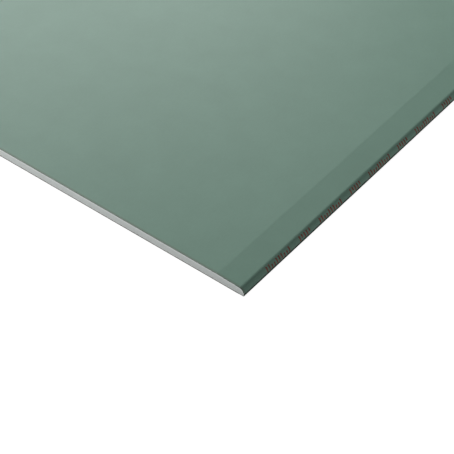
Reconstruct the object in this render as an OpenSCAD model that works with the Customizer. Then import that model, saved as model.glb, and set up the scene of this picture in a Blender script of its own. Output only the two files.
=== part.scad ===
// Tapered, half-round edged drywall sheet, lying on its back with the face up.
// A gypsum core is cast between two papers. The face paper covers the face, wraps
// both long edges and returns under the back, where the back paper laps over it.
// The two short ends are cut square, so they show the core between the papers.
// X runs across the sheet, Y along it and Z up. The origin is under its middle.

/* [Sheet] */
// Length along the papered edges
sheet_length = 2500; // [1500:50:3600]
// Width from papered edge to papered edge
sheet_width = 1200; // [400:50:1250]
// Thickness through both papers, away from the tapers
sheet_thickness = 12.5; // [9.5:0.5:18]

/* [Long edges] */
// Width of the taper along each long edge, for the joint compound
taper_width = 40; // [40:1:80]
// Drop of the face at the end of the taper
taper_depth = 1.5; // [0.6:0.1:2.5]
// Radius of the half-round that carries the taper down the edge
edge_radius = 8; // [4:0.5:14]

/* [Papers] */
// Thickness of the face paper
face_paper_thickness = 0.4; // [0.2:0.05:0.6]
// Thickness of the back paper
back_paper_thickness = 0.4; // [0.2:0.05:0.6]
// Inside radius of the face paper's fold under the edge
fold_radius = 0.4; // [0.2:0.1:1]
// Strip of the face paper left showing along each edge of the back
bare_strip = 8; // [3:1:15]
// Overlap of the back paper on the face paper's return
lap_width = 17; // [8:1:30]

/* [Hidden] */
$fn = 96;

face_green = "#7f978b";
core_grey = "#cfd0cc";
back_grey = "#a39b8e";

// The face paper's folded margin under the back, from the edge inwards.
return_width = bare_strip + lap_width;
// Underside of that margin: the back paper lies below it.
wrap_bottom = back_paper_thickness;
outer_fold_radius = fold_radius + face_paper_thickness;

// Slope of the taper, and the height it would reach at the very edge.
taper_angle = atan(taper_depth / taper_width);
edge_height = sheet_thickness - taper_depth;

// How far below the taper's end the half-round's centre lies, for each unit of radius.
centre_drop = 1 / cos(taper_angle) - tan(taper_angle);
// The half-round runs tangent from the taper to the upright side, which ends at the fold,
// so the height between the two is the most that its radius can take up.
round_radius = min(edge_radius, (edge_height - wrap_bottom - outer_fold_radius) / centre_drop);
round_centre = [-round_radius, edge_height - round_radius * centre_drop];
fold_centre = [-outer_fold_radius, wrap_bottom + outer_fold_radius];

// How far inside the half-round the taper's line ends, so that the two cross at one point.
seam = 0.0003;

// Where the level face turns down into the taper, on a line that lies inset below the face.
function taper_start(inset) = -taper_width - inset * tan(taper_angle / 2);

// The outer upper quarter of a disc, or the outer lower one.
module quarter_disc(centre, radius, upper) {
    translate(centre)
        intersection() {
            circle(radius);
            mirror([0, upper ? 0 : 1])
                square(radius);
        }
}

// Half of the wrapped section, a distance inset inside the face paper's outer surface.
// Its x is 0 at the papered edge and falls towards the middle of the sheet.
module half_section(inset) {
    middle = -sheet_width / 2;
    top = sheet_thickness - inset;
    bottom = wrap_bottom + inset;
    side = -inset;
    round_r = round_radius - inset;
    fold_r = outer_fold_radius - inset;
    polygon([
        [middle, bottom],
        [fold_centre[0], bottom],
        [side, fold_centre[1]],
        [side, round_centre[1]],
        round_centre + (round_r - seam) * [sin(taper_angle), cos(taper_angle)],
        [taper_start(inset), top],
        [middle, top]
    ]);
    quarter_disc(round_centre, round_r, upper = true);
    quarter_disc(fold_centre, fold_r, upper = false);
}

// The whole wrapped section, from edge to edge.
module wrapped_section(inset) {
    for (turned = [0, 1])
        mirror([turned, 0])
            translate([sheet_width / 2, 0])
                half_section(inset);
}

// The part of the underside between the face paper's two returns.
module open_back() {
    open_width = sheet_width - 2 * return_width;
    translate([-open_width / 2, wrap_bottom])
        square([open_width, face_paper_thickness]);
}

// Carries a section, drawn with y up, along the length of the sheet.
module along_sheet() {
    rotate([90, 0, 0])
        linear_extrude(height = sheet_length, center = true)
            children();
}

module gypsum_core() {
    color(core_grey)
        along_sheet() {
            wrapped_section(face_paper_thickness);
            open_back();
        }
}

module face_paper() {
    color(face_green)
        along_sheet()
            difference() {
                wrapped_section(0);
                wrapped_section(face_paper_thickness);
                open_back();
            }
}

module back_paper() {
    back_width = sheet_width - 2 * bare_strip;
    color(back_grey)
        along_sheet()
            translate([-back_width / 2, 0])
                square([back_width, back_paper_thickness]);
}

gypsum_core();
face_paper();
back_paper();
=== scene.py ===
"""Looks of a moisture-resistant drywall sheet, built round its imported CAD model.

The sheet lies on its back. X runs across it, Y along its papered edges and Z up. Lengths are in metres.
"""

import math

import bmesh
import bpy
from bpy.props import FloatProperty, FloatVectorProperty, PointerProperty
from bpy.types import NodeSocket, Operator, Panel, PropertyGroup
from mathutils import Matrix, Vector, noise


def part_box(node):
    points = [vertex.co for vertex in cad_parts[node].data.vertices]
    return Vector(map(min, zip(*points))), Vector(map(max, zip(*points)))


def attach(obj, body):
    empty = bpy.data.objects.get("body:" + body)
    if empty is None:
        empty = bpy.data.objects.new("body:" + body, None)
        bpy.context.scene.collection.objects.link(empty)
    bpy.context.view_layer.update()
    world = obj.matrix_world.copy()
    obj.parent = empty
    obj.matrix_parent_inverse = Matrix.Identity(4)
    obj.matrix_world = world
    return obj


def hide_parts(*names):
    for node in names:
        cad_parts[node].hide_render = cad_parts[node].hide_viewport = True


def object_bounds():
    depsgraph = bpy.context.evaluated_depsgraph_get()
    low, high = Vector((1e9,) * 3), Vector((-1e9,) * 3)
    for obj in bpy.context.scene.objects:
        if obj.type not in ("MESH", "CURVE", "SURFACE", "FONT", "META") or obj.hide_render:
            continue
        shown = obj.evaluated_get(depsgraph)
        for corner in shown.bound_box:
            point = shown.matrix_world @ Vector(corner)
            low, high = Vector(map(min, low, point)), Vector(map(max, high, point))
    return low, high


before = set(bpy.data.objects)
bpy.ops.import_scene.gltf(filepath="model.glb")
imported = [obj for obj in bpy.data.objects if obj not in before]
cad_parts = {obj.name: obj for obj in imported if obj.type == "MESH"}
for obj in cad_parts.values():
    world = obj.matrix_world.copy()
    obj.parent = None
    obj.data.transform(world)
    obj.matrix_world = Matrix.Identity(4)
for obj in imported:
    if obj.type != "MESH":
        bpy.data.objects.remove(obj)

bl_info = {
    "name": "Drywall Sheet",
    "version": (1, 0, 0),
    "blender": (4, 5, 0),
    "location": "View3D > Sidebar > Drywall",
    "description": "Builds a drywall sheet with its papers, cut ends and edge marks, and its stage",
    "category": "Object",
}

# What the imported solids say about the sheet.
CAD_LOW, CAD_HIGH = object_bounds()
CORE_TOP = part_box("gypsum_core")[1].z
BACK_LOW, BACK_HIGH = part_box("back_paper")
HALF_WIDTH = CAD_HIGH.x
HALF_LENGTH = CAD_HIGH.y
THICKNESS = CAD_HIGH.z
FACE_PAPER = THICKNESS - CORE_TOP
BACK_PAPER = BACK_HIGH.z - BACK_LOW.z

MM = 0.001

# How finely the roundings and the dots of ink are drawn.
ROUND_STEPS = 20
FOLD_STEPS = 4
BLEND_STEPS = 6
DOT_SIDES = 8
# An edge that turns by more than this is drawn sharp.
SHARP_TURN = math.radians(35)
# Points nearer to each other than this are one point.
SAME_PLACE = 1e-6
# A face whose normal has this much of Y in it lies on a cut end.
END_FACING = 0.9

# Sizes of the fine patterns. Real fibres, flecks, pores and soaked ink are several times finer,
# so these are drawn as coarse as they need to be to show.
FIBRE_SIZE = 1.5 * MM
CUT_FIBRE_SIZE = 0.8 * MM
FLECK_SIZE = 3 * MM
PORE_SIZE = 1.4 * MM
SOAK_SIZE = 3 * MM
# Width of a fibre of the face paper as a share of its length, which lies along the sheet.
FIBRE_ASPECT = 0.3
# Sizes of the soft clouds of tone.
FACE_CLOUD_SIZE = 40 * MM
BACK_CLOUD_SIZE = 50 * MM
GYPSUM_CLOUD_SIZE = 8 * MM
# Depths of the relief that the fine patterns raise.
FIBRE_RELIEF = 0.02 * MM
FLECK_RELIEF = 0.05 * MM
PORE_RELIEF = 0.2 * MM

# Width of the strip of face paper along each cut end that is painted darker and browner, as shade at the cut.
CUT_SHADE_WIDTH = 4 * MM
# Reach of the painted shade that darkens the foot of the sheet on its paper, and of the painted contact
# shadow on the floor.
FOOT_SHADE = 8 * MM
CONTACT_SHADE = 0.5 * MM

# The edge marks are bars in groups. A bar is columns of dots, from its lowest row up to the row where it
# stops. The spacing of bars and the gap between groups are counted in dots.
BAR_ROWS = ((0, 6), (0, 6), (2, 6), (0, 6), (0, 4))
BAR_COLUMNS = 2
BAR_SPACING = 4
GROUP_BARS = (10, 5)
GROUP_GAP = 14
# Bare edge at each end of the marks, turn of the lowest row up the half-round, and lift of the ink off it.
MARK_MARGIN = 45 * MM
FIRST_ROW = math.radians(12)
INK_LIFT = 0.02 * MM

# Where each lamp stands, the point that it faces, and its width and height.
LAMPS = {
    "key": ((-4.9, 2.6, 2.4), (0, 0, THICKNESS), (1.5, 1.5)),
    "fill": ((-1.4, -2.9, 0.08), (0, -HALF_LENGTH, 0), (0.8, 0.12)),
    "panel": ((-3.2, 0.47, 2.42), (0.3, -1.0, 0), (5.9, 1.5)),
    "side": ((2.2, -0.5, 0.3), (HALF_WIDTH, -0.9, 0), (0.8, 0.16)),
}
# The one lamp that shows as sheen. The others would turn the face white in a low view.
SHEEN_LAMP = "panel"

FLOOR_RADIUS = 40
FLOOR_SIDES = 64
# Glow of the floor where it is seen. Its share of lamp light brings it up to white.
FLOOR_GLOW = 0.96
# Farthest that the camera sees, well past the edge of the floor.
CAMERA_REACH = 200


def linear(code):
    """The linear colour, with full alpha, of an sRGB hex value such as #7f978b."""
    channels = [int(code[i : i + 2], 16) / 255 for i in (1, 3, 5)]
    return *(c / 12.92 if c <= 0.04045 else ((c + 0.055) / 1.055) ** 2.4 for c in channels), 1.0


class DrywallSizes(PropertyGroup):
    """Sizes of the sheet that its packed boxes don't give."""

    taper_width: FloatProperty(
        name="Taper width",
        description="Width of the taper along each long edge",
        default=0.040,
        unit="LENGTH",
    )
    taper_depth: FloatProperty(
        name="Taper depth",
        description="Drop of the face at the edge",
        default=0.0015,
        unit="LENGTH",
    )
    taper_blend: FloatProperty(
        name="Taper blend",
        description="Length over which the face eases into the taper",
        default=0.0012,
        unit="LENGTH",
    )
    edge_radius: FloatProperty(
        name="Edge radius",
        description="Radius of the half-round edge",
        default=0.008,
        unit="LENGTH",
    )
    fold_radius: FloatProperty(
        name="Fold radius",
        description="Inside radius of the paper's fold under the edge",
        default=0.0004,
        unit="LENGTH",
    )
    return_width: FloatProperty(
        name="Return width",
        description="Face paper folded under the back",
        default=0.025,
        unit="LENGTH",
    )
    skin_depth: FloatProperty(
        name="Skin depth",
        description="Depth of the denser gypsum under the face paper",
        default=0.004,
        unit="LENGTH",
    )
    dot_size: FloatProperty(
        name="Dot size",
        description="Diameter of a dot of ink",
        default=0.0012,
        unit="LENGTH",
    )
    dot_pitch: FloatProperty(
        name="Dot pitch",
        description="Spacing of the dots of ink",
        default=0.0012,
        unit="LENGTH",
    )
    grain_size: FloatProperty(
        name="Grain size",
        description="Spacing of the grain on the cut ends",
        default=0.001,
        unit="LENGTH",
    )
    grain_depth: FloatProperty(
        name="Grain depth",
        description="Depth of the grain on the cut ends",
        default=0.0004,
        unit="LENGTH",
    )


class DrywallFinishes(PropertyGroup):
    """Colours of the sheet's finishes."""

    face_paper: FloatVectorProperty(
        name="Face paper",
        description="Dyed liner paper",
        default=linear("#718f81"),
        subtype="COLOR",
        size=4,
    )
    gypsum: FloatVectorProperty(
        name="Gypsum",
        description="Cut core",
        default=linear("#d8dddb"),
        subtype="COLOR",
        size=4,
    )
    back_paper: FloatVectorProperty(
        name="Back paper",
        description="Undyed liner paper",
        default=linear("#a0978a"),
        subtype="COLOR",
        size=4,
    )
    ink: FloatVectorProperty(
        name="Ink",
        description="Edge marks",
        default=linear("#83433b"),
        subtype="COLOR",
        size=4,
    )


class DrywallStage(PropertyGroup):
    """Camera, lamps and surrounding light."""

    azimuth: FloatProperty(
        name="Azimuth",
        description="Camera's turn from looking along the sheet",
        default=math.radians(38.45),
        unit="ROTATION",
    )
    elevation: FloatProperty(
        name="Elevation",
        description="Camera's height over the horizon",
        default=math.radians(44.29),
        unit="ROTATION",
    )
    distance: FloatProperty(
        name="Distance",
        description="From the camera to the face",
        default=1.7243,
        unit="LENGTH",
    )
    aim_in: FloatVectorProperty(
        name="Aim",
        description="From the near corner in to the point looked at",
        default=(0.07918, 0.06814),
        size=2,
        unit="LENGTH",
    )
    lens: FloatProperty(
        name="Lens",
        description="Focal length in millimetres",
        default=114.2,
        unit="CAMERA",
    )
    key_watts: FloatProperty(
        name="Key",
        description="Power of the low lamp on the left",
        default=718,
        unit="POWER",
    )
    fill_watts: FloatProperty(
        name="Fill",
        description="Power of the strip in front of the near end",
        default=39,
        unit="POWER",
    )
    panel_watts: FloatProperty(
        name="Panel",
        description="Power of the panel that gives the face its sheen",
        default=455,
        unit="POWER",
    )
    side_watts: FloatProperty(
        name="Side",
        description="Power of the strip beside the long edge",
        default=6.0,
        unit="POWER",
    )
    ambient: FloatProperty(
        name="Ambient",
        description="Strength of the light from all round",
        default=0.155,
    )


# Meshes


def everything_in(mesh):
    """All of a bmesh's vertices, edges and faces."""
    return mesh.verts[:] + mesh.edges[:] + mesh.faces[:]


def verts_among(geometry):
    """The vertices among the geometry that a bmesh operator made."""
    return [item for item in geometry if isinstance(item, bmesh.types.BMVert)]


def extruded_profile(points):
    """A ribbon that carries a profile of (x, z) points along the whole sheet."""
    mesh = bmesh.new()
    row = [mesh.verts.new((x, -HALF_LENGTH, z)) for x, z in points]
    edges = [mesh.edges.new(pair) for pair in zip(row, row[1:])]
    made = bmesh.ops.extrude_edge_only(mesh, edges=edges)["geom"]
    bmesh.ops.translate(mesh, verts=verts_among(made), vec=(0, 2 * HALF_LENGTH, 0))
    return mesh


def round_ridge(mesh, point, offset, segments):
    """Rounds the ridge that runs along the sheet through a profile point."""
    x, z = point
    ridge = [
        edge
        for edge in mesh.edges
        if all(abs(v.co.x - x) < SAME_PLACE and abs(v.co.z - z) < SAME_PLACE for v in edge.verts)
    ]
    bmesh.ops.bevel(
        mesh,
        geom=ridge,
        offset=offset,
        offset_type="OFFSET",
        segments=segments,
        profile=0.5,
        affect="EDGES",
        material=-1,
    )


def finish_piece(name, mesh, materials, node):
    """Turns a bmesh into a piece that rides on the sheet and stands for a CAD node, if one is named."""
    for face in mesh.faces:
        face.smooth = True
    data = bpy.data.meshes.new(name)
    mesh.to_mesh(data)
    mesh.free()
    data.set_sharp_from_angle(angle=SHARP_TURN)
    for material in materials:
        data.materials.append(material)
    piece = bpy.data.objects.new(name, data)
    bpy.context.scene.collection.objects.link(piece)
    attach(piece, "root")
    if node:
        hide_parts(node)
    return piece


def mark_cut_edges(mesh):
    """Gives a paper's faces on the sheet's two ends the second material."""
    mesh.normal_update()
    for face in mesh.faces:
        if abs(face.normal.y) > END_FACING:
            face.material_index = 1


def weight_normals(piece):
    """Keeps the broad flats flat where they run into roundings."""
    modifier = piece.modifiers.new("Weighted normals", "WEIGHTED_NORMAL")
    modifier.keep_sharp = True


class TaperedSection:
    """The wrapped section of the sheet, at an inset inside the face paper's outer surface."""

    def __init__(self, sizes, inset):
        slope = math.atan(sizes.taper_depth / sizes.taper_width)
        # How far below the taper's end the half-round's centre lies, for each unit of radius.
        drop = 1 / math.cos(slope) - math.tan(slope)
        self.slope = slope
        self.side = HALF_WIDTH - inset
        self.top = THICKNESS - inset
        self.bottom = BACK_PAPER + inset
        self.taper_start = HALF_WIDTH - sizes.taper_width - inset * math.tan(slope / 2)
        self.edge_top = THICKNESS - sizes.taper_depth + inset * math.tan(slope) - inset / math.cos(slope)
        self.round = sizes.edge_radius - inset
        self.round_x = HALF_WIDTH - sizes.edge_radius
        self.round_z = THICKNESS - sizes.taper_depth - sizes.edge_radius * drop
        self.fold = sizes.fold_radius + FACE_PAPER - inset
        self.fold_x = HALF_WIDTH - sizes.fold_radius - FACE_PAPER
        self.fold_z = BACK_PAPER + sizes.fold_radius + FACE_PAPER

    def ceiling(self, x):
        """Height of the section's upper side at x."""
        x = abs(x)
        if x <= self.taper_start:
            return self.top
        if x <= self.round_x + self.round * math.sin(self.slope):
            return self.top - (x - self.taper_start) * math.tan(self.slope)
        return self.round_z + math.sqrt(max(0, self.round**2 - (x - self.round_x) ** 2))

    def floor(self, x):
        """Height of the section's underside at x."""
        x = abs(x)
        if x <= self.fold_x:
            return self.bottom
        return self.fold_z - math.sqrt(max(0, self.fold**2 - (x - self.fold_x) ** 2))


# Materials


def add_node(tree, kind, inputs=None, **settings):
    """Adds a node of a kind, with its settings, and gives each named input a value or a link."""
    node = tree.nodes.new(kind)
    for name, value in settings.items():
        setattr(node, name, value)
    for name, value in (inputs or {}).items():
        if isinstance(value, NodeSocket):
            tree.links.new(value, node.inputs[name])
        else:
            node.inputs[name].default_value = value
    return node


def new_material(name):
    """An empty node material, with its tree."""
    material = bpy.data.materials.new(name)
    material.use_nodes = True
    material.node_tree.nodes.clear()
    return material, material.node_tree


def shade(colour, factor):
    """A colour made darker or lighter by a factor."""
    return *(c * factor for c in colour[:3]), 1.0


def face_paper_material(finishes):
    """Liner paper that was dyed, sized and run between smooth rolls."""
    # To the eye: an even green with fine fibres along the sheet and a soft, weak sheen.
    material, tree = new_material("Dyed liner paper")
    place = add_node(tree, "ShaderNodeTexCoord").outputs["Object"]
    along = add_node(
        tree, "ShaderNodeMapping", {"Vector": place, "Scale": (1, FIBRE_ASPECT, 1)}
    ).outputs["Vector"]
    fibres = add_node(
        tree, "ShaderNodeTexNoise", {"Vector": along, "Scale": 1 / FIBRE_SIZE, "Detail": 3, "Roughness": 0.6}
    ).outputs["Fac"]
    clouds = add_node(
        tree, "ShaderNodeTexNoise", {"Vector": place, "Scale": 1 / FACE_CLOUD_SIZE, "Detail": 2}
    ).outputs["Fac"]
    mottle = add_node(tree, "ShaderNodeMath", {0: fibres, 1: clouds}, operation="ADD").outputs["Value"]
    tone = add_node(
        tree, "ShaderNodeMapRange", {"Value": mottle, "From Min": 0.6, "From Max": 1.4}
    ).outputs["Result"]
    dyed = add_node(
        tree,
        "ShaderNodeMix",
        {0: tone, 6: shade(finishes.face_paper, 0.96), 7: shade(finishes.face_paper, 1.04)},
        data_type="RGBA",
    ).outputs[2]

    # Next to a cut end the paper is painted darker and browner, more so the nearer it is to the cut: painted
    # shade at the cut edge.
    along_sheet = add_node(tree, "ShaderNodeSeparateXYZ", {"Vector": place}).outputs["Y"]
    from_middle = add_node(tree, "ShaderNodeMath", {0: along_sheet}, operation="ABSOLUTE").outputs["Value"]
    cut_shade = add_node(
        tree,
        "ShaderNodeMapRange",
        {"Value": from_middle, "From Min": HALF_LENGTH - CUT_SHADE_WIDTH, "From Max": HALF_LENGTH, "To Max": 0.5},
    ).outputs["Result"]
    # Painted shade along the cut end, mixed into the paper's colour.
    shaded_at_cut = add_node(
        tree, "ShaderNodeMix", {0: cut_shade, 6: dyed, 7: shade(finishes.back_paper, 0.35)}, data_type="RGBA"
    ).outputs[2]

    # Where the floor hides about a fifth of what the foot of the edge would see, the colour is painted near
    # black as shade, and the paper is made dull.
    clear = add_node(tree, "ShaderNodeAmbientOcclusion", {"Distance": FOOT_SHADE}).outputs["AO"]
    unshaded = add_node(
        tree, "ShaderNodeMapRange", {"Value": clear, "From Min": 0.79, "From Max": 0.83}
    ).outputs["Result"]
    colour = add_node(
        tree, "ShaderNodeMix", {0: unshaded, 6: shade(finishes.face_paper, 0.02), 7: shaded_at_cut}, data_type="RGBA"
    ).outputs[2]
    gloss = add_node(
        tree,
        "ShaderNodeMapRange",
        {"Value": fibres, "From Min": 0.2, "From Max": 0.8, "To Min": 0.35, "To Max": 0.41},
    ).outputs["Result"]
    roughness = add_node(
        tree, "ShaderNodeMix", {0: unshaded, 2: 1.0, 3: gloss}, data_type="FLOAT"
    ).outputs[0]

    tooth = add_node(
        tree, "ShaderNodeBump", {"Strength": 0.1, "Distance": FIBRE_RELIEF, "Height": fibres}
    ).outputs["Normal"]
    # Paper is rough on a scale too fine to draw, so it keeps about an eighth of a smooth surface's gloss.
    surface = add_node(
        tree,
        "ShaderNodeBsdfPrincipled",
        {
            "Base Color": colour,
            "Roughness": roughness,
            "IOR": 1.5,
            "Specular IOR Level": 0.061,
            "Normal": tooth,
        },
    ).outputs["BSDF"]
    add_node(tree, "ShaderNodeOutputMaterial", {"Surface": surface})
    return material


def cut_paper_material(paper):
    """Liner paper cut across."""
    # To the eye: the ends of the fibres take up light, so the cut is a dark, dull line.
    material, tree = new_material("Cut liner paper")
    place = add_node(tree, "ShaderNodeTexCoord").outputs["Object"]
    fibres = add_node(
        tree, "ShaderNodeTexNoise", {"Vector": place, "Scale": 1 / CUT_FIBRE_SIZE, "Detail": 2}
    ).outputs["Fac"]
    colour = add_node(
        tree, "ShaderNodeMix", {0: fibres, 6: shade(paper, 0.05), 7: shade(paper, 0.35)}, data_type="RGBA"
    ).outputs[2]
    surface = add_node(
        tree, "ShaderNodeBsdfPrincipled", {"Base Color": colour, "Roughness": 0.9, "Specular IOR Level": 0.2}
    ).outputs["BSDF"]
    add_node(tree, "ShaderNodeOutputMaterial", {"Surface": surface})
    return material


def gypsum_material(finishes):
    """Gypsum, cast as a foam between the papers and cut across."""
    # To the eye: chalky pale grey with fine pores and faint clouds, and paler under the face paper,
    # where it was cast denser.
    material, tree = new_material("Foamed gypsum")
    place = add_node(tree, "ShaderNodeTexCoord").outputs["Object"]
    clouds = add_node(
        tree, "ShaderNodeTexNoise", {"Vector": place, "Scale": 1 / GYPSUM_CLOUD_SIZE, "Detail": 3}
    ).outputs["Fac"]
    pores = add_node(
        tree, "ShaderNodeTexVoronoi", {"Vector": place, "Scale": 1 / PORE_SIZE}, feature="F1"
    ).outputs["Distance"]
    pits = add_node(
        tree, "ShaderNodeMapRange", {"Value": pores, "From Min": 0.1, "From Max": 0.3}
    ).outputs["Result"]
    body = add_node(
        tree,
        "ShaderNodeMix",
        {0: clouds, 6: shade(finishes.gypsum, 0.93), 7: shade(finishes.gypsum, 1.04)},
        data_type="RGBA",
    ).outputs[2]
    # The pores are painted darker than the gypsum round them: painted shade in the pits.
    foam = add_node(
        tree, "ShaderNodeMix", {0: pits, 6: shade(finishes.gypsum, 0.75), 7: body}, data_type="RGBA"
    ).outputs[2]
    skin = add_node(tree, "ShaderNodeAttribute", attribute_name="skin").outputs["Fac"]
    colour = add_node(
        tree, "ShaderNodeMix", {0: skin, 6: foam, 7: shade(finishes.gypsum, 1.2)}, data_type="RGBA"
    ).outputs[2]
    relief = add_node(
        tree, "ShaderNodeBump", {"Strength": 0.4, "Distance": PORE_RELIEF, "Height": pits}
    ).outputs["Normal"]
    surface = add_node(
        tree,
        "ShaderNodeBsdfPrincipled",
        {"Base Color": colour, "Roughness": 0.9, "IOR": 1.5, "Normal": relief},
    ).outputs["BSDF"]
    add_node(tree, "ShaderNodeOutputMaterial", {"Surface": surface})
    return material


def back_paper_material(finishes):
    """Liner paper made from waste paper, neither dyed nor sized."""
    # To the eye: matt grey-brown, flecked with darker and paler fibres.
    material, tree = new_material("Recycled liner paper")
    place = add_node(tree, "ShaderNodeTexCoord").outputs["Object"]
    flecks = add_node(
        tree, "ShaderNodeTexNoise", {"Vector": place, "Scale": 1 / FLECK_SIZE, "Detail": 4, "Roughness": 0.7}
    ).outputs["Fac"]
    clouds = add_node(
        tree, "ShaderNodeTexNoise", {"Vector": place, "Scale": 1 / BACK_CLOUD_SIZE, "Detail": 3}
    ).outputs["Fac"]
    mottle = add_node(tree, "ShaderNodeMath", {0: flecks, 1: clouds}, operation="ADD").outputs["Value"]
    tone = add_node(
        tree, "ShaderNodeMapRange", {"Value": mottle, "From Min": 0.6, "From Max": 1.4}
    ).outputs["Result"]
    colour = add_node(
        tree,
        "ShaderNodeMix",
        {0: tone, 6: shade(finishes.back_paper, 0.86), 7: shade(finishes.back_paper, 1.12)},
        data_type="RGBA",
    ).outputs[2]
    tooth = add_node(
        tree, "ShaderNodeBump", {"Strength": 0.2, "Distance": FLECK_RELIEF, "Height": flecks}
    ).outputs["Normal"]
    surface = add_node(
        tree,
        "ShaderNodeBsdfPrincipled",
        {"Base Color": colour, "Roughness": 0.8, "IOR": 1.5, "Normal": tooth},
    ).outputs["BSDF"]
    add_node(tree, "ShaderNodeOutputMaterial", {"Surface": surface})
    return material


def ink_material(finishes):
    """Water-based ink, sprayed on paper in dots."""
    # To the eye: matt red-brown that soaked in unevenly, so some dots are dark and some are pale.
    material, tree = new_material("Sprayed ink")
    place = add_node(tree, "ShaderNodeTexCoord").outputs["Object"]
    soak = add_node(
        tree, "ShaderNodeTexNoise", {"Vector": place, "Scale": 1 / SOAK_SIZE, "Detail": 2}
    ).outputs["Fac"]
    colour = add_node(
        tree,
        "ShaderNodeMix",
        {0: soak, 6: shade(finishes.ink, 0.3), 7: shade(finishes.ink, 1.5)},
        data_type="RGBA",
    ).outputs[2]
    surface = add_node(
        tree, "ShaderNodeBsdfPrincipled", {"Base Color": colour, "Roughness": 0.8, "Specular IOR Level": 0.2}
    ).outputs["BSDF"]
    add_node(tree, "ShaderNodeOutputMaterial", {"Surface": surface})
    return material


# Pieces


class DRYWALL_OT_gypsum_core(Operator):
    """Builds the gypsum core, with grain on both cut ends"""

    bl_idname = "drywall.gypsum_core"
    bl_label = "Gypsum Core"

    def execute(self, context):
        sizes = context.scene.drywall_sizes
        section = TaperedSection(sizes, FACE_PAPER)
        columns = round(2 * section.side / sizes.grain_size)
        rows = round((section.top - section.bottom) / sizes.grain_size)
        mesh = bmesh.new()
        skin = mesh.verts.layers.float.new("skin")
        bmesh.ops.create_grid(mesh, x_segments=columns, y_segments=rows, size=1)
        # The grid, from -1 to 1 both ways, is fitted to the section at the near end.
        for vert in mesh.verts:
            x = vert.co.x * section.side
            low, high = section.floor(x), section.ceiling(x)
            height = (high - low) * (vert.co.y + 1) / 2
            vert[skin] = max(0, 1 - (high - low - height) / sizes.skin_depth)
            vert.co = (x, -HALF_LENGTH, low + height)
        near = list(mesh.verts)
        made = bmesh.ops.extrude_face_region(mesh, geom=mesh.faces[:], use_keep_orig=True)["geom"]
        far = verts_among(made)
        bmesh.ops.translate(mesh, verts=far, vec=(0, 2 * HALF_LENGTH, 0))
        bmesh.ops.recalc_face_normals(mesh, faces=mesh.faces[:])
        for vert in near + far:
            depth = sizes.grain_depth * (0.5 + 0.5 * noise.noise(vert.co / (2 * sizes.grain_size)))
            vert.co.y -= math.copysign(depth, vert.co.y)
        finishes = context.scene.drywall_finishes
        finish_piece("core", mesh, [gypsum_material(finishes)], "gypsum_core")
        return {"FINISHED"}


class DRYWALL_OT_face_paper(Operator):
    """Builds the face paper, wrapped round both long edges and folded under the back"""

    bl_idname = "drywall.face_paper"
    bl_label = "Face Paper"

    def execute(self, context):
        sizes = context.scene.drywall_sizes
        section = TaperedSection(sizes, 0)
        taper_start = (section.taper_start, section.top)
        edge = (section.side, section.edge_top)
        foot = (section.side, section.bottom)
        return_end = (section.side - sizes.return_width, section.bottom)
        mesh = extruded_profile([(0, section.top), taper_start, edge, foot, return_end])
        turn = math.pi / 2 - section.slope
        round_ridge(mesh, edge, section.round * math.tan(turn / 2), ROUND_STEPS)
        round_ridge(mesh, foot, section.fold, FOLD_STEPS)
        round_ridge(mesh, taper_start, sizes.taper_blend, BLEND_STEPS)
        bmesh.ops.mirror(mesh, geom=everything_in(mesh), merge_dist=SAME_PLACE, axis="X")
        bmesh.ops.recalc_face_normals(mesh, faces=mesh.faces[:])
        bmesh.ops.solidify(mesh, geom=mesh.faces[:], thickness=FACE_PAPER)
        mark_cut_edges(mesh)
        finishes = context.scene.drywall_finishes
        materials = [face_paper_material(finishes), cut_paper_material(finishes.face_paper)]
        piece = finish_piece("face_liner", mesh, materials, "face_paper")
        weight_normals(piece)
        return {"FINISHED"}


class DRYWALL_OT_back_paper(Operator):
    """Builds the back paper, which laps over the face paper's folded margins"""

    bl_idname = "drywall.back_paper"
    bl_label = "Back Paper"

    def execute(self, context):
        mesh = extruded_profile([(BACK_LOW.x, BACK_LOW.z), (BACK_HIGH.x, BACK_LOW.z)])
        bmesh.ops.solidify(mesh, geom=mesh.faces[:], thickness=BACK_PAPER)
        mark_cut_edges(mesh)
        finishes = context.scene.drywall_finishes
        materials = [back_paper_material(finishes), cut_paper_material(finishes.back_paper)]
        finish_piece("back_liner", mesh, materials, "back_paper")
        return {"FINISHED"}


def add_dot(mesh, sizes, section, row, y):
    """Adds a flat dot of ink to the half-round, in a row counted from the lowest."""
    angle = FIRST_ROW + row * (sizes.dot_pitch / section.round)
    out = Vector((math.cos(angle), 0, math.sin(angle)))
    axis = Vector((section.round_x, y, section.round_z))
    turn = out.to_track_quat("Z", "Y")
    matrix = Matrix.LocRotScale(axis + out * (section.round + INK_LIFT), turn, None)
    radius = sizes.dot_size / 2
    bmesh.ops.create_circle(mesh, cap_ends=True, segments=DOT_SIDES, radius=radius, matrix=matrix)


def add_groups(mesh, sizes, section, start):
    """Adds each group of bars once, from a place along the edge, and gives the place where they end."""
    y = start
    for group, bars in enumerate(GROUP_BARS):
        for bar in range(bars):
            # The lengths follow the squares of the count, so that they vary in a way that is always the same.
            low, high = BAR_ROWS[(group + bar * bar) % len(BAR_ROWS)]
            for column in range(BAR_COLUMNS):
                for row in range(low, high):
                    add_dot(mesh, sizes, section, row, y + column * sizes.dot_pitch)
            y += BAR_SPACING * sizes.dot_pitch
        y += GROUP_GAP * sizes.dot_pitch
    return y


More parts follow.
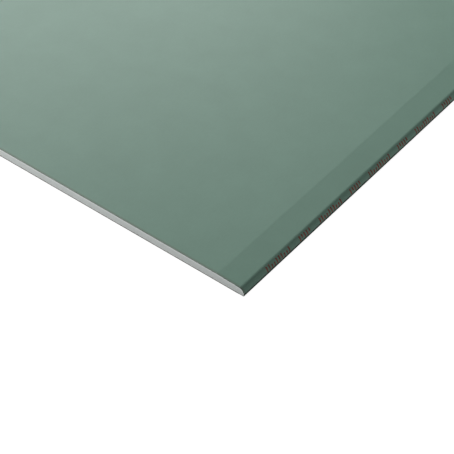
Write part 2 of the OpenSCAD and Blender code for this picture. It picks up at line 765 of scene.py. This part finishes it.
class DRYWALL_OT_edge_marks(Operator):
    """Sprays groups of plain bars along one half-round edge, as columns of ink dots"""

    bl_idname = "drywall.edge_marks"
    bl_label = "Edge Marks"

    def execute(self, context):
        sizes = context.scene.drywall_sizes
        section = TaperedSection(sizes, 0)
        mesh = bmesh.new()
        start = MARK_MARGIN - HALF_LENGTH
        run_length = add_groups(mesh, sizes, section, start) - start
        bmesh.ops.solidify(mesh, geom=mesh.faces[:], thickness=2 * INK_LIFT)
        run = everything_in(mesh)
        for repeat in range(1, int((HALF_LENGTH - MARK_MARGIN - start) / run_length)):
            made = bmesh.ops.duplicate(mesh, geom=run)["geom"]
            bmesh.ops.translate(mesh, verts=verts_among(made), vec=(0, repeat * run_length, 0))
        finishes = context.scene.drywall_finishes
        finish_piece("edge_marks", mesh, [ink_material(finishes)], None)
        return {"FINISHED"}


# Stage


def aimed(place, target):
    """A matrix that puts something at a place and turns its -Z towards a target."""
    turn = (target - place).to_track_quat("-Z", "Y")
    return Matrix.LocRotScale(place, turn, None)


def seen_directly(tree):
    """1 for a ray that shows the background: from the camera, in a reflection or through glass."""
    path = add_node(tree, "ShaderNodeLightPath").outputs
    seen = add_node(
        tree, "ShaderNodeMath", {0: path["Is Camera Ray"], 1: path["Is Glossy Ray"]}, operation="MAXIMUM"
    ).outputs["Value"]
    return add_node(
        tree, "ShaderNodeMath", {0: seen, 1: path["Is Transmission Ray"]}, operation="MAXIMUM"
    ).outputs["Value"]


def floor_material():
    """Painted studio floor."""
    # To the eye: white, with the sheet's faint shadow, and a thin dark line where the sheet touches it that
    # is a painted contact shadow.
    material, tree = new_material("White floor")
    plain = add_node(tree, "ShaderNodeBsdfDiffuse", {"Color": linear("#b4b4b4")}).outputs["BSDF"]
    faint = add_node(tree, "ShaderNodeBsdfDiffuse", {"Color": linear("#959595")}).outputs["BSDF"]
    # The glow dims where the sheet is near, which paints a thin contact shadow on the floor.
    clear = add_node(tree, "ShaderNodeAmbientOcclusion", {"Distance": CONTACT_SHADE}).outputs["AO"]
    glow = add_node(tree, "ShaderNodeEmission", {"Color": clear, "Strength": FLOOR_GLOW}).outputs["Emission"]
    white = add_node(tree, "ShaderNodeAddShader", {0: faint, 1: glow}).outputs["Shader"]
    surface = add_node(
        tree, "ShaderNodeMixShader", {0: seen_directly(tree), 1: plain, 2: white}
    ).outputs["Shader"]
    add_node(tree, "ShaderNodeOutputMaterial", {"Surface": surface})
    return material


def add_floor(scene):
    """Adds a wide round floor."""
    mesh = bmesh.new()
    bmesh.ops.create_circle(mesh, cap_ends=True, segments=FLOOR_SIDES, radius=FLOOR_RADIUS)
    data = bpy.data.meshes.new("floor")
    mesh.to_mesh(data)
    mesh.free()
    data.materials.append(floor_material())
    floor = bpy.data.objects.new("floor", data)
    scene.collection.objects.link(floor)


def add_lamp(scene, name, watts):
    """Adds a rectangular lamp out of the camera's sight, which shows as sheen or lights matt surfaces."""
    place, target, size = LAMPS[name]
    data = bpy.data.lights.new(name, "AREA")
    data.shape = "RECTANGLE"
    data.energy = watts
    data.size, data.size_y = size
    lamp = bpy.data.objects.new(name, data)
    lamp.matrix_world = aimed(Vector(place), Vector(target))
    lamp.visible_camera = False
    lamp.visible_diffuse = name != SHEEN_LAMP
    lamp.visible_glossy = name == SHEEN_LAMP
    scene.collection.objects.link(lamp)


def add_surround(scene, ambient):
    """Adds a world that is white where it is seen and otherwise a weak light from all round."""
    world = bpy.data.worlds.new("Surround")
    world.use_nodes = True
    tree = world.node_tree
    tree.nodes.clear()
    strength = add_node(
        tree, "ShaderNodeMix", {0: seen_directly(tree), 2: ambient, 3: 1.0}, data_type="FLOAT"
    ).outputs[0]
    light = add_node(
        tree, "ShaderNodeBackground", {"Color": linear("#ffffff"), "Strength": strength}
    ).outputs["Background"]
    add_node(tree, "ShaderNodeOutputWorld", {"Surface": light})
    scene.world = world


def add_camera(scene, stage):
    """Adds the camera, aimed at the face near the sheet's near corner."""
    lens = bpy.data.cameras.new("camera")
    lens.lens = stage.lens
    lens.clip_end = CAMERA_REACH
    camera = bpy.data.objects.new("camera", lens)
    aim = Vector((HALF_WIDTH - stage.aim_in[0], -HALF_LENGTH + stage.aim_in[1], THICKNESS))
    level = math.cos(stage.elevation)
    rise = math.sin(stage.elevation)
    back = Vector((math.sin(stage.azimuth) * level, -math.cos(stage.azimuth) * level, rise))
    camera.matrix_world = aimed(aim + back * stage.distance, aim)
    scene.collection.objects.link(camera)
    scene.camera = camera


class DRYWALL_OT_stage(Operator):
    """Sets up the floor, the lamps, the surrounding light and the camera"""

    bl_idname = "drywall.stage"
    bl_label = "Stage"

    def execute(self, context):
        scene = context.scene
        stage = scene.drywall_stage
        add_floor(scene)
        add_lamp(scene, "key", stage.key_watts)
        add_lamp(scene, "fill", stage.fill_watts)
        add_lamp(scene, "panel", stage.panel_watts)
        add_lamp(scene, "side", stage.side_watts)
        add_surround(scene, stage.ambient)
        add_camera(scene, stage)
        scene.view_settings.view_transform = "Standard"
        return {"FINISHED"}


class DRYWALL_PT_panel(Panel):
    """Lists the sheet's pieces and settings"""

    bl_idname = "DRYWALL_PT_panel"
    bl_label = "Drywall Sheet"
    bl_space_type = "VIEW_3D"
    bl_region_type = "UI"
    bl_category = "Drywall"

    def draw(self, context):
        for operator in OPERATORS:
            self.layout.operator(operator.bl_idname)
        for name, group in GROUPS.items():
            box = self.layout.box()
            for key in group.__annotations__:
                box.prop(getattr(context.scene, name), key)


GROUPS = {
    "drywall_sizes": DrywallSizes,
    "drywall_finishes": DrywallFinishes,
    "drywall_stage": DrywallStage,
}
OPERATORS = (
    DRYWALL_OT_gypsum_core,
    DRYWALL_OT_face_paper,
    DRYWALL_OT_back_paper,
    DRYWALL_OT_edge_marks,
    DRYWALL_OT_stage,
)
CLASSES = (*GROUPS.values(), *OPERATORS, DRYWALL_PT_panel)


def register():
    for cls in CLASSES:
        bpy.utils.register_class(cls)
    for name, group in GROUPS.items():
        setattr(bpy.types.Scene, name, PointerProperty(type=group))


def unregister():
    for name in GROUPS:
        delattr(bpy.types.Scene, name)
    for cls in reversed(CLASSES):
        bpy.utils.unregister_class(cls)


def main():
    register()
    bpy.ops.drywall.gypsum_core()
    bpy.ops.drywall.face_paper()
    bpy.ops.drywall.back_paper()
    bpy.ops.drywall.edge_marks()
    bpy.ops.drywall.stage()


if __name__ == "__main__":
    main()
